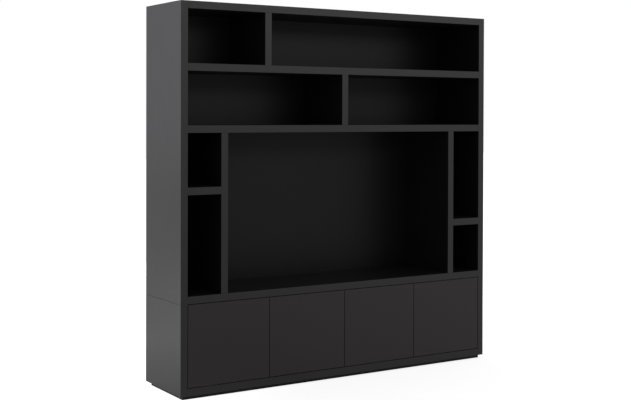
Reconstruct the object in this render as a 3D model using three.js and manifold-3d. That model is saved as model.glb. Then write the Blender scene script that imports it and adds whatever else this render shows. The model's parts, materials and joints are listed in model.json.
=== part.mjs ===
// Black wall cabinet for a living room: an open upper unit with nine niches stands on a base unit
// with four flush doors and a low set-back plinth. Millimetres, Z up, front towards -Y.
// The origin is on the floor, under the middle of the cabinet.
import * as THREE from 'three';
import { mergeVertices } from 'three/addons/utils/BufferGeometryUtils.js';
import Module from 'manifold-3d';

const wasm = await Module();
wasm.setup();

// Driving sizes of the whole cabinet
const BOARD = 40;
const DEPTH = 440;
const CELL_WIDTH = 461;
const CELL_HEIGHT = 284;
const COLUMN_WIDTH = 196;
const SCREEN_NICHE_HEIGHT = 852;
const BASE_HEIGHT = 480;
const THIN_BOARD = 18;
const BACK_RECESS = 2;
const CELLS_ACROSS = 4;

// Plinth of flat strips
const PLINTH_HEIGHT = 20;
const PLINTH_INSET = 20;
const PLINTH_BACK_INSET = 30;
const PLINTH_STRIP_WIDTH = 60;

// Doors
const DOOR_COUNT = 4;
const DOOR_THICKNESS = 20;
const DOOR_GAP = 3;
const DOOR_EDGE_CHAMFER = 1;
const INNER_SETBACK = 12;

// Loose shelves of the base unit
const SHELF_CLEARANCE = 0.5;
const SHELF_FRONT_SETBACK = 30;

// Cup hinges, seen from the door's back: the pin lies inside the cup
const HINGE_END_DISTANCE = 70;
const PIN_EDGE_DISTANCE = 16;
const PIN_DEPTH = 10;
const PIN_RADIUS = 1;
const PIN_CLEARANCE = 0.3;
const CUP_EDGE_DISTANCE = 22;
const CUP_RADIUS = 17.5;
const CUP_DEPTH = 13.5;
const CUP_WALL = 0.8;
const CUP_FIT = 0.3;
const FLANGE_WIDTH = 14;
const FLANGE_LENGTH = 58;
const FLANGE_THICKNESS = 1.2;
const ARM_HEIGHT = 11;
const ARM_SHEET = 3;
const EYE_WALL = 1;
const ARM_BAR_BEHIND_DOOR = 10.5;
const ARM_HOOK_OFFSET = 15;
const ARM_TAIL_LENGTH = 62;
const PLATE_START = 28;
const PLATE_DEPTH = 18;
const PLATE_HEIGHT = 50;
const PLATE_THICKNESS = 2;

// Push latches under the base unit's top panel
const LATCH_EDGE_DISTANCE = 35;
const LATCH_WIDTH = 16;
const LATCH_HEIGHT = 15;
const LATCH_LENGTH = 70;
const PLUNGER_RADIUS = 4;
const PLUNGER_FIT = 0.3;
const PLUNGER_INSIDE = 30;
const PLUNGER_TRAVEL_ROOM = 8;
const PLUNGER_DOOR_GAP = 0.3;
const PLUNGER_TIP_LENGTH = 2;
const PLUNGER_TIP_RADIUS = 2;

// Cable outlets and their sleeves
const OUTLET_RADIUS = 30;
const OUTLET_FROM_UPRIGHT = 106;
const OUTLET_FROM_BACK = 50;
const OUTLET_ABOVE_DECK = 110;
const BASE_OUTLET_RADIUS = 40;
const OUTLET_ABOVE_BASE = 110;
const SLEEVE_FIT = 0.3;
const SLEEVE_WALL = 3;
const SLEEVE_RIM_WIDTH = 5;
const SLEEVE_RIM_THICKNESS = 2;

// Wall brackets on the top board
const BRACKET_FROM_END = 300;
const BRACKET_WIDTH = 30;
const BRACKET_LEG = 40;
const BRACKET_UPRIGHT = 30;
const BRACKET_SHEET = 2;
const BRACKET_HOLE_RADIUS = 2.5;

// Cuts and roundness
const CUT_OVERRUN = 1;
const ROUND_STEPS = 32;
const SMALL_ROUND_STEPS = 16;

// Places worked out from the sizes
const WIDTH = CELLS_ACROSS * CELL_WIDTH + (CELLS_ACROSS + 1) * BOARD;
const LEFT = -WIDTH / 2;
const RIGHT = WIDTH / 2;
const FRONT = -DEPTH / 2;
const BACK = DEPTH / 2;
const INNER_LEFT = LEFT + BOARD;
const INNER_RIGHT = RIGHT - BOARD;
const PANEL_BACK = BACK - BACK_RECESS;
const NICHE_BACK = PANEL_BACK - THIN_BOARD;
const BASE_FLOOR = PLINTH_HEIGHT + BOARD;
const SEAM = PLINTH_HEIGHT + BASE_HEIGHT;
const DECK_TOP = SEAM + BOARD;
const LOW_SHELF = DECK_TOP + SCREEN_NICHE_HEIGHT;
const HIGH_SHELF = LOW_SHELF + BOARD + CELL_HEIGHT;
const TOP_BOARD = HIGH_SHELF + BOARD + CELL_HEIGHT;
const TOP = TOP_BOARD + BOARD;
const BACK_JOINT = LOW_SHELF + BOARD / 2;
const DOOR_BACK = FRONT + DOOR_THICKNESS;
const DOOR_BOTTOM = BASE_FLOOR + DOOR_GAP;
const DOOR_TOP = SEAM - DOOR_GAP;
const DOOR_WIDTH = (INNER_RIGHT - INNER_LEFT - (DOOR_COUNT + 1) * DOOR_GAP) / DOOR_COUNT;
const DOOR_PITCH = DOOR_WIDTH + DOOR_GAP;
const INNER_FRONT = DOOR_BACK + INNER_SETBACK;
const BASE_CEILING = SEAM - THIN_BOARD;
const OUTLET_X = INNER_LEFT + COLUMN_WIDTH + BOARD + OUTLET_FROM_UPRIGHT;
const OUTLET_Y = NICHE_BACK - OUTLET_FROM_BACK;

// Materials
const BLACK_WOOD = { color: 0x2d2d2e, roughness: 0.6, metalness: 0 };
const BLACK_PANEL = { color: 0x242425, roughness: 0.7, metalness: 0 };
const DOOR_LACQUER = { color: 0x2c2a2b, roughness: 0.5, metalness: 0 };
const NICKEL = { color: 0xb4b2ac, roughness: 0.35, metalness: 1 };
const BLACK_PLASTIC = { color: 0x1a1a1b, roughness: 0.5, metalness: 0 };
const GREY_PLASTIC = { color: 0x6b6d70, roughness: 0.5, metalness: 0 };

function makeMesh(name, geometry, look, place = [0, 0, 0]) {
  const mesh = new THREE.Mesh(geometry, new THREE.MeshStandardMaterial(look));
  mesh.name = name;
  mesh.position.set(...place);
  return mesh;
}

// Solids for cuts and joins
function toSolid(geometry) {
  const bare = geometry.clone();
  bare.deleteAttribute('normal');
  bare.deleteAttribute('uv');
  const merged = mergeVertices(bare);
  return new wasm.Manifold(new wasm.Mesh({
    numProp: 3,
    vertProperties: Float32Array.from(merged.attributes.position.array),
    triVerts: Uint32Array.from(merged.index.array),
  }));
}

function toGeometry(solid) {
  const mesh = solid.getMesh();
  const geometry = new THREE.BufferGeometry();
  geometry.setAttribute('position', new THREE.BufferAttribute(mesh.vertProperties, 3));
  geometry.setIndex(new THREE.BufferAttribute(mesh.triVerts, 1));
  geometry.computeVertexNormals();
  return geometry;
}

function boxBetween([x0, x1], [y0, y1], [z0, z1]) {
  const geometry = new THREE.BoxGeometry(x1 - x0, y1 - y0, z1 - z0);
  geometry.translate((x0 + x1) / 2, (y0 + y1) / 2, (z0 + z1) / 2);
  return geometry;
}

// A round bar from one point along an axis, 'y' or 'z'
function roundBar(radius, axis, [x, y, z], length, steps) {
  const geometry = new THREE.CylinderGeometry(radius, radius, length, steps);
  geometry.translate(0, length / 2, 0);
  if (axis === 'z') geometry.rotateX(Math.PI / 2);
  geometry.translate(x, y, z);
  return geometry;
}

// A board between two planes in each direction, placed by its middle, with round holes through it
function makeBoard(name, look, xs, ys, zs, holes = []) {
  const middle = [xs, ys, zs].map(([low, high]) => (low + high) / 2);
  const size = [xs, ys, zs].map(([low, high]) => high - low);
  const plain = new THREE.BoxGeometry(...size);
  if (holes.length === 0) return makeMesh(name, plain, look, middle);
  const solid = holes.reduce((body, { axis, radius, at }) => {
    const start = at.map((value, index) => value - middle[index]);
    const along = { y: 1, z: 2 }[axis];
    start[along] = -size[along] / 2 - CUT_OVERRUN;
    const length = size[along] + 2 * CUT_OVERRUN;
    return body.subtract(toSolid(roundBar(radius, axis, start, length, ROUND_STEPS)));
  }, toSolid(plain));
  return makeMesh(name, toGeometry(solid), look, middle);
}

// Plinth
function makePlinth() {
  const group = new THREE.Group();
  const [x0, x1] = [LEFT + PLINTH_INSET, RIGHT - PLINTH_INSET];
  const [y0, y1] = [FRONT + PLINTH_INSET, BACK - PLINTH_BACK_INSET];
  const [inner0, inner1] = [y0 + PLINTH_STRIP_WIDTH, y1 - PLINTH_STRIP_WIDTH];
  const zs = [0, PLINTH_HEIGHT];
  group.add(
    makeBoard('plinth_front', BLACK_PANEL, [x0, x1], [y0, inner0], zs),
    makeBoard('plinth_back', BLACK_PANEL, [x0, x1], [inner1, y1], zs),
    makeBoard('plinth_left', BLACK_PANEL, [x0, x0 + PLINTH_STRIP_WIDTH], [inner0, inner1], zs),
    makeBoard('plinth_right', BLACK_PANEL, [x1 - PLINTH_STRIP_WIDTH, x1], [inner0, inner1], zs),
  );
  return group;
}

// Base unit, without doors
function makeBaseUnit() {
  const group = new THREE.Group();
  const full = [FRONT, BACK];
  const inner = [INNER_LEFT, INNER_RIGHT];
  const inside = [INNER_FRONT, NICHE_BACK];
  const height = [PLINTH_HEIGHT, SEAM];
  group.add(
    makeBoard('base_side_left', BLACK_WOOD, [LEFT, INNER_LEFT], full, height),
    makeBoard('base_side_right', BLACK_WOOD, [INNER_RIGHT, RIGHT], full, height),
    makeBoard('base_bottom', BLACK_WOOD, inner, full, [PLINTH_HEIGHT, BASE_FLOOR]),
    makeBoard('base_top_panel', BLACK_PANEL, inner, inside, [BASE_CEILING, SEAM], [
      { axis: 'z', radius: OUTLET_RADIUS, at: [OUTLET_X, OUTLET_Y, SEAM] },
    ]),
    makeBoard('base_back', BLACK_PANEL, inner, [NICHE_BACK, PANEL_BACK], [BASE_FLOOR, SEAM], [
      { axis: 'y', radius: BASE_OUTLET_RADIUS, at: [OUTLET_X, NICHE_BACK, BASE_FLOOR + OUTLET_ABOVE_BASE] },
    ]),
  );
  const partitions = partitionPlaces();
  partitions.forEach((xs, index) => {
    const name = `base_partition_${['left', 'right'][index]}`;
    group.add(makeBoard(name, BLACK_PANEL, xs, inside, [BASE_FLOOR, BASE_CEILING]));
  });
  const walls = [INNER_LEFT, ...partitions.flat(), INNER_RIGHT];
  const shelfBottom = (BASE_FLOOR + BASE_CEILING - THIN_BOARD) / 2;
  const shelfHeights = [shelfBottom, shelfBottom + THIN_BOARD];
  ['left', 'middle', 'right'].forEach((side, index) => {
    const xs = [walls[2 * index] + SHELF_CLEARANCE, walls[2 * index + 1] - SHELF_CLEARANCE];
    const ys = [DOOR_BACK + SHELF_FRONT_SETBACK, NICHE_BACK - SHELF_CLEARANCE];
    group.add(makeBoard(`base_shelf_${side}`, BLACK_PANEL, xs, ys, shelfHeights));
  });
  return group;
}

// The partitions stand behind the gaps beside the outer doors
function partitionPlaces() {
  return [-DOOR_PITCH, DOOR_PITCH].map((x) => [x - THIN_BOARD / 2, x + THIN_BOARD / 2]);
}

// One door lies between x = 0 at its hinge edge and side * DOOR_WIDTH at its free edge.
// y = 0 is the plane of its back, and z = 0 the height of its lower edge.
const DOOR_HEIGHT = DOOR_TOP - DOOR_BOTTOM;
const HINGE_HEIGHTS = { lower: HINGE_END_DISTANCE, upper: DOOR_HEIGHT - HINGE_END_DISTANCE };
const PIN_Y = PIN_DEPTH - DOOR_THICKNESS;

function flatShape(points) {
  return new THREE.Shape(points.map(([x, y]) => new THREE.Vector2(x, y)));
}

function extrudeUp(points, z0, z1) {
  const geometry = new THREE.ExtrudeGeometry(flatShape(points), { depth: z1 - z0, bevelEnabled: false });
  geometry.translate(0, 0, z0);
  return geometry;
}

function makeDoorLeaf(name, side) {
  const outline = [
    [0, 0],
    [0, -DOOR_THICKNESS + DOOR_EDGE_CHAMFER],
    [side * DOOR_EDGE_CHAMFER, -DOOR_THICKNESS],
    [side * (DOOR_WIDTH - DOOR_EDGE_CHAMFER), -DOOR_THICKNESS],
    [side * DOOR_WIDTH, -DOOR_THICKNESS + DOOR_EDGE_CHAMFER],
    [side * DOOR_WIDTH, 0],
  ];
  let leaf = toSolid(extrudeUp(outline, 0, DOOR_HEIGHT));
  Object.values(HINGE_HEIGHTS).forEach((z) => {
    const start = [side * CUP_EDGE_DISTANCE, -CUP_DEPTH - CUP_FIT, z];
    const bore = roundBar(CUP_RADIUS + CUP_FIT, 'y', start, CUP_DEPTH + CUP_FIT + CUT_OVERRUN, ROUND_STEPS);
    leaf = leaf.subtract(toSolid(bore));
  });
  return makeMesh(name, toGeometry(leaf), DOOR_LACQUER);
}

// Hinge cup: a round cup let into the door, a flange on the door's back and the pin across the cup
function makeHingeCup(name, side, z) {
  const x = side * CUP_EDGE_DISTANCE;
  const pinX = side * PIN_EDGE_DISTANCE;
  const hollowRadius = CUP_RADIUS - CUP_WALL;
  const flangeXs = [x - FLANGE_WIDTH / 2, x + FLANGE_WIDTH / 2];
  const flangeZs = [z - FLANGE_LENGTH / 2, z + FLANGE_LENGTH / 2];
  const flange = boxBetween(flangeXs, [0, FLANGE_THICKNESS], flangeZs);
  const body = roundBar(CUP_RADIUS, 'y', [x, -CUP_DEPTH, z], CUP_DEPTH + FLANGE_THICKNESS, ROUND_STEPS);
  const hollowDepth = CUP_DEPTH - CUP_WALL;
  const hollowLength = hollowDepth + FLANGE_THICKNESS + CUT_OVERRUN;
  const hollow = roundBar(hollowRadius, 'y', [x, -hollowDepth, z], hollowLength, ROUND_STEPS);
  const pinHalf = Math.sqrt(hollowRadius ** 2 - (x - pinX) ** 2) + CUP_WALL / 2;
  const pin = roundBar(PIN_RADIUS, 'z', [pinX, PIN_Y, z - pinHalf], 2 * pinHalf, SMALL_ROUND_STEPS);
  const cup = toSolid(flange).add(toSolid(body)).subtract(toSolid(hollow)).add(toSolid(pin));
  return makeMesh(name, toGeometry(cup), NICKEL);
}

// Hinge arm: a plate on the cabinet's wall, a bar behind the door's edge, and a hook with an eye on the pin
function makeHingeArm(name, side, z, wallX) {
  const eyeInner = PIN_RADIUS + PIN_CLEARANCE;
  const eyeOuter = eyeInner + EYE_WALL;
  const hookX = PIN_EDGE_DISTANCE + ARM_HOOK_OFFSET;
  const hookSide = hookX + ARM_SHEET / 2;
  const hookInner = hookX - ARM_SHEET / 2;
  const barFront = ARM_BAR_BEHIND_DOOR;
  const barBack = barFront + ARM_SHEET;
  const eyeFront = PIN_Y - eyeOuter;
  const eyeTop = PIN_Y + EYE_WALL;
  const outline = [
    [wallX, barFront],
    [hookInner, barFront],
    [hookInner, eyeTop],
    [PIN_EDGE_DISTANCE, eyeTop],
    [PIN_EDGE_DISTANCE, eyeFront],
    [hookSide, eyeFront],
    [hookSide, barBack],
    [wallX + ARM_SHEET, barBack],
    [wallX + ARM_SHEET, ARM_TAIL_LENGTH],
    [wallX, ARM_TAIL_LENGTH],
  ].map(([x, y]) => [side * x, y]);
  const [z0, z1] = [z - ARM_HEIGHT / 2, z + ARM_HEIGHT / 2];
  const pinX = side * PIN_EDGE_DISTANCE;
  const eye = roundBar(eyeOuter, 'z', [pinX, PIN_Y, z0], ARM_HEIGHT, SMALL_ROUND_STEPS);
  const boreStart = [pinX, PIN_Y, z0 - CUT_OVERRUN];
  const bore = roundBar(eyeInner, 'z', boreStart, ARM_HEIGHT + 2 * CUT_OVERRUN, SMALL_ROUND_STEPS);
  const plateXs = [side * wallX, side * (wallX + PLATE_THICKNESS)].sort((a, b) => a - b);
  const plateZs = [z - PLATE_HEIGHT / 2, z + PLATE_HEIGHT / 2];
  const plate = boxBetween(plateXs, [PLATE_START, PLATE_START + PLATE_DEPTH], plateZs);
  const arm = toSolid(extrudeUp(outline, z0, z1)).add(toSolid(eye)).add(toSolid(plate));
  return makeMesh(name, toGeometry(arm.subtract(toSolid(bore))), NICKEL);
}

// Push latch: a housing with a round bore, and the plunger that touches the door's back
function makeLatchHousing(name, x) {
  const y0 = INNER_FRONT - DOOR_BACK;
  const z1 = BASE_CEILING - DOOR_BOTTOM;
  const ys = [y0, y0 + LATCH_LENGTH];
  const block = boxBetween([x - LATCH_WIDTH / 2, x + LATCH_WIDTH / 2], ys, [z1 - LATCH_HEIGHT, z1]);
  const boreStart = [x, y0 - CUT_OVERRUN, z1 - LATCH_HEIGHT / 2];
  const boreLength = CUT_OVERRUN + PLUNGER_INSIDE + PLUNGER_TRAVEL_ROOM;
  const bore = roundBar(PLUNGER_RADIUS + PLUNGER_FIT, 'y', boreStart, boreLength, ROUND_STEPS);
  return makeMesh(name, toGeometry(toSolid(block).subtract(toSolid(bore))), GREY_PLASTIC);
}

function makePlunger(name, x) {
  const tip = PLUNGER_DOOR_GAP;
  const shoulder = tip + PLUNGER_TIP_LENGTH;
  const end = INNER_FRONT - DOOR_BACK + PLUNGER_INSIDE;
  const outline = [
    new THREE.Vector2(0, tip),
    new THREE.Vector2(PLUNGER_TIP_RADIUS, tip),
    new THREE.Vector2(PLUNGER_RADIUS, shoulder),
    new THREE.Vector2(PLUNGER_RADIUS, end),
    new THREE.Vector2(0, end),
  ];
  const z = BASE_CEILING - DOOR_BOTTOM - LATCH_HEIGHT / 2;
  return makeMesh(name, new THREE.LatheGeometry(outline, ROUND_STEPS), BLACK_PLASTIC, [x, 0, z]);
}

// The outer walls stand one gap beside the door, the partitions reach behind the door's edge
const OUTER_WALL_X = -DOOR_GAP;
const PARTITION_WALL_X = (THIN_BOARD - DOOR_GAP) / 2;
const DOORS = [
  { number: 1, side: 1, hingeX: INNER_LEFT + DOOR_GAP, wallX: OUTER_WALL_X },
  { number: 2, side: 1, hingeX: INNER_LEFT + DOOR_GAP + DOOR_PITCH, wallX: PARTITION_WALL_X },
  { number: 3, side: -1, hingeX: INNER_RIGHT - DOOR_GAP - DOOR_PITCH, wallX: PARTITION_WALL_X },
  { number: 4, side: -1, hingeX: INNER_RIGHT - DOOR_GAP, wallX: OUTER_WALL_X },
];

function makeDoor({ number, side, hingeX, wallX }) {
  const group = new THREE.Group();
  group.position.set(hingeX, DOOR_BACK, DOOR_BOTTOM);
  const name = `door_${number}`;
  const latchX = side * (DOOR_WIDTH - LATCH_EDGE_DISTANCE);
  group.add(makeDoorLeaf(name, side));
  Object.entries(HINGE_HEIGHTS).forEach(([place, z]) => {
    group.add(makeHingeCup(`${name}_hinge_cup_${place}`, side, z));
    group.add(makeHingeArm(`${name}_hinge_arm_${place}`, side, z, wallX));
  });
  group.add(makeLatchHousing(`${name}_latch_housing`, latchX));
  group.add(makePlunger(`${name}_latch_plunger`, latchX));
  return group;
}

// Upper unit
function makeUpperUnit() {
  const group = new THREE.Group();
  const full = [FRONT, BACK];
  const niche = [FRONT, NICHE_BACK];
  const panel = [NICHE_BACK, PANEL_BACK];
  const inner = [INNER_LEFT, INNER_RIGHT];
  const column = INNER_LEFT + COLUMN_WIDTH;
  const screenNiche = [DECK_TOP, LOW_SHELF];
  const lowRow = [LOW_SHELF + BOARD, HIGH_SHELF];
  const highRow = [HIGH_SHELF + BOARD, TOP_BOARD];
  const leftShelf = [LOW_SHELF - CELL_HEIGHT - BOARD, LOW_SHELF - CELL_HEIGHT];
  const rightShelf = [DECK_TOP + CELL_HEIGHT, DECK_TOP + CELL_HEIGHT + BOARD];
  const highDivider = INNER_LEFT + CELL_WIDTH;
  group.add(
    makeBoard('upper_side_left', BLACK_WOOD, [LEFT, INNER_LEFT], full, [SEAM, TOP]),
    makeBoard('upper_side_right', BLACK_WOOD, [INNER_RIGHT, RIGHT], full, [SEAM, TOP]),
    makeBoard('upper_top', BLACK_WOOD, inner, full, [TOP_BOARD, TOP]),
    makeBoard('upper_deck', BLACK_WOOD, inner, full, [SEAM, DECK_TOP], [
      { axis: 'z', radius: OUTLET_RADIUS, at: [OUTLET_X, OUTLET_Y, SEAM] },
    ]),
    makeBoard('upper_shelf_low', BLACK_WOOD, inner, niche, [LOW_SHELF, LOW_SHELF + BOARD]),
    makeBoard('upper_shelf_high', BLACK_WOOD, inner, niche, [HIGH_SHELF, HIGH_SHELF + BOARD]),
    makeBoard('divider_middle', BLACK_WOOD, [-BOARD / 2, BOARD / 2], niche, lowRow),
    makeBoard('divider_high', BLACK_WOOD, [highDivider, highDivider + BOARD], niche, highRow),
    makeBoard('upright_left', BLACK_WOOD, [column, column + BOARD], niche, screenNiche),
    makeBoard('upright_right', BLACK_WOOD, [-column - BOARD, -column], niche, screenNiche),
    makeBoard('column_shelf_left', BLACK_WOOD, [INNER_LEFT, column], niche, leftShelf),
    makeBoard('column_shelf_right', BLACK_WOOD, [-column, INNER_RIGHT], niche, rightShelf),
    makeBoard('upper_back_high', BLACK_WOOD, inner, panel, [BACK_JOINT, TOP_BOARD]),
    makeBoard('upper_back_low', BLACK_WOOD, inner, panel, [DECK_TOP, BACK_JOINT], [
      { axis: 'y', radius: OUTLET_RADIUS, at: [OUTLET_X, NICHE_BACK, DECK_TOP + OUTLET_ABOVE_DECK] },
    ]),
  );
  return group;
}

// Cable sleeve: a short tube with a rim, its rim on the board's face and its tube along +Y into the hole
function sleeveGeometry(length) {
  const outer = OUTLET_RADIUS - SLEEVE_FIT;
  const rim = OUTLET_RADIUS + SLEEVE_RIM_WIDTH;
  const outline = [
    new THREE.Vector2(outer - SLEEVE_WALL, -SLEEVE_RIM_THICKNESS),
    new THREE.Vector2(rim, -SLEEVE_RIM_THICKNESS),
    new THREE.Vector2(rim, 0),
    new THREE.Vector2(outer, 0),
    new THREE.Vector2(outer, length),
    new THREE.Vector2(outer - SLEEVE_WALL, length),
    new THREE.Vector2(outer - SLEEVE_WALL, -SLEEVE_RIM_THICKNESS),
  ];
  return new THREE.LatheGeometry(outline, ROUND_STEPS);
}

function makeSleeves() {
  const group = new THREE.Group();
  const deckPlace = [OUTLET_X, OUTLET_Y, DECK_TOP];
  const deckSleeve = makeMesh('deck_cable_sleeve', sleeveGeometry(BOARD), BLACK_PLASTIC, deckPlace);
  deckSleeve.rotation.x = -Math.PI / 2;
  const backPlace = [OUTLET_X, NICHE_BACK, DECK_TOP + OUTLET_ABOVE_DECK];
  const backSleeve = makeMesh('back_cable_sleeve', sleeveGeometry(THIN_BOARD), BLACK_PLASTIC, backPlace);
  group.add(deckSleeve, backSleeve);
  return group;
}

// Wall bracket: an L of steel sheet on the top board, its upright leg against the wall
function makeBracket(name, x) {
  const xs = [-BRACKET_WIDTH / 2, BRACKET_WIDTH / 2];
  const flat = boxBetween(xs, [-BRACKET_LEG, 0], [0, BRACKET_SHEET]);
  const upright = boxBetween(xs, [-BRACKET_SHEET, 0], [0, BRACKET_UPRIGHT]);
  const holeLength = BRACKET_SHEET + 2 * CUT_OVERRUN;
  const flatHole = [0, -BRACKET_LEG / 2, -CUT_OVERRUN];
  const uprightHole = [0, -BRACKET_SHEET - CUT_OVERRUN, BRACKET_UPRIGHT / 2];
  const bracket = toSolid(flat)
    .add(toSolid(upright))
    .subtract(toSolid(roundBar(BRACKET_HOLE_RADIUS, 'z', flatHole, holeLength, SMALL_ROUND_STEPS)))
    .subtract(toSolid(roundBar(BRACKET_HOLE_RADIUS, 'y', uprightHole, holeLength, SMALL_ROUND_STEPS)));
  return makeMesh(name, toGeometry(bracket), NICKEL, [x, BACK, TOP]);
}

const cabinet = new THREE.Group();
cabinet.name = 'wall_cabinet';
cabinet.add(makePlinth(), makeBaseUnit(), makeUpperUnit(), makeSleeves());
DOORS.forEach((door) => cabinet.add(makeDoor(door)));
cabinet.add(
  makeBracket('wall_bracket_left', LEFT + BRACKET_FROM_END),
  makeBracket('wall_bracket_right', RIGHT - BRACKET_FROM_END),
);

export default cabinet;
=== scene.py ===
"""Dress the tall black wall cabinet: an open upper unit of nine niches on a base unit with four doors.

Lengths are metres, Z points up and the front looks towards -Y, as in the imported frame.
"""

import json
import logging
import math
from dataclasses import dataclass, field
from enum import Enum
from itertools import product
from typing import Callable, Iterable, Optional, Sequence

import bmesh
import bpy
from mathutils import Matrix, Vector

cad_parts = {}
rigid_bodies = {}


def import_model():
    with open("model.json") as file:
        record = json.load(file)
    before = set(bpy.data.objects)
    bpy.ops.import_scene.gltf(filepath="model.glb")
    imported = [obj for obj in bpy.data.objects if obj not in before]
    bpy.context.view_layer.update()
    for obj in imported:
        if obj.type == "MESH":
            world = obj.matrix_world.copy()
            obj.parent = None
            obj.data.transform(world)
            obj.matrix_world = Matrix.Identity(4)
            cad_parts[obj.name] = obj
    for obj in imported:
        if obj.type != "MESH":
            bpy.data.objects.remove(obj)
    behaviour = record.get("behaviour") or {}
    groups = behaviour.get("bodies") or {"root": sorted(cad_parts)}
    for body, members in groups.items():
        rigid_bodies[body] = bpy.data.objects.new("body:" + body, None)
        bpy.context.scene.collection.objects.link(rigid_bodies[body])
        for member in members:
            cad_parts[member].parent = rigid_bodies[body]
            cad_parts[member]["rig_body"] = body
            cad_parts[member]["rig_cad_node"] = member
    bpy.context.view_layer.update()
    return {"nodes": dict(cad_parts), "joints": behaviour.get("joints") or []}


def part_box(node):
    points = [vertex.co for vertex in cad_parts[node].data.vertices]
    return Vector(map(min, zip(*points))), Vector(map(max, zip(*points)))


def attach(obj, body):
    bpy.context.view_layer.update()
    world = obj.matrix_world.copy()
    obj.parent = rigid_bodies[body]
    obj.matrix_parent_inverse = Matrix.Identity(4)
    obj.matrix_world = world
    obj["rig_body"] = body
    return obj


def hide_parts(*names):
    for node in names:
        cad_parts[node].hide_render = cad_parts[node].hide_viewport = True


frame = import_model()

LOG = logging.getLogger("wall_cabinet")
MM = 0.001
OVERRUN = 1 * MM  # how far a cutter stands past what it cuts
NEAR = 1 * MM  # an edge this close to a side of its piece lies along it
ON_FACE = 0.1 * MM  # a point this close to a face lies on it
FACING = 0.9  # how much of a face's normal has to point one way
CURVE_KNEE, CURVE_SLOPE, CURVE_LIFT, CURVE_POWER = 0.04045, 12.92, 0.055, 2.4  # how a picture stores a tone
Piece = bpy.types.Object
Feed = float | bpy.types.NodeSocket
Point = tuple[float, float, float]


class Axis(Enum):
    """A direction of the frame, with its index."""

    X = 0
    Y = 1
    Z = 2


class Slot(Enum):
    """The record's material slots."""

    WOOD = "black_wood"
    PANEL = "black_panel"
    DOOR = "door_lacquer"
    NICKEL = "nickel"
    GREY_PLASTIC = "grey_plastic"
    BLACK_PLASTIC = "black_plastic"
    BRACKET = "bracket_steel"


def middle_of(node: str) -> Vector:
    """Return the middle of a node's box."""
    low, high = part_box(node)
    return (low + high) / 2


# ---------------------------------------------------------------- finishes


def linear(tone: Sequence[int]) -> tuple[float, float, float, float]:
    """Turn a colour of three 0 to 255 values into the linear one that a socket takes.

    Args:
        tone: Red, green and blue as a picture stores them.

    Returns:
        Linear red, green and blue, and a full alpha.
    """
    shares = [value / 255 for value in tone]
    low = [share / CURVE_SLOPE for share in shares]
    high = [((share + CURVE_LIFT) / (1 + CURVE_LIFT)) ** CURVE_POWER for share in shares]
    return tuple(h if s > CURVE_KNEE else l for s, l, h in zip(shares, low, high)) + (1.0,)


def stretched(waves: tuple[float, float], along: Axis) -> Point:
    """Return the waves to the metre on each axis, from those across a grain and those along it."""
    across, lengthways = waves
    return tuple(lengthways if axis is along else across for axis in Axis)


class NodeSheet:
    """The node tree of a finish, the floor or the world while it is laid out."""

    def __init__(self, tree: bpy.types.NodeTree) -> None:
        """Take the tree."""
        self.tree = tree

    def node(self, kind: str, links: Optional[dict] = None, **settings: object) -> bpy.types.Node:
        """Add a node.

        Args:
            kind: The node's type, without its ShaderNode prefix.
            links: What each input takes: an output socket, or a plain value.
            settings: Properties of the node.

        Returns:
            The new node.
        """
        made = self.tree.nodes.new(f"ShaderNode{kind}")
        for key, value in settings.items():
            setattr(made, key, value)
        for key, value in (links or {}).items():
            if isinstance(value, bpy.types.NodeSocket):
                self.tree.links.new(value, made.inputs[key])
            else:
                made.inputs[key].default_value = value
        return made


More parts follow.
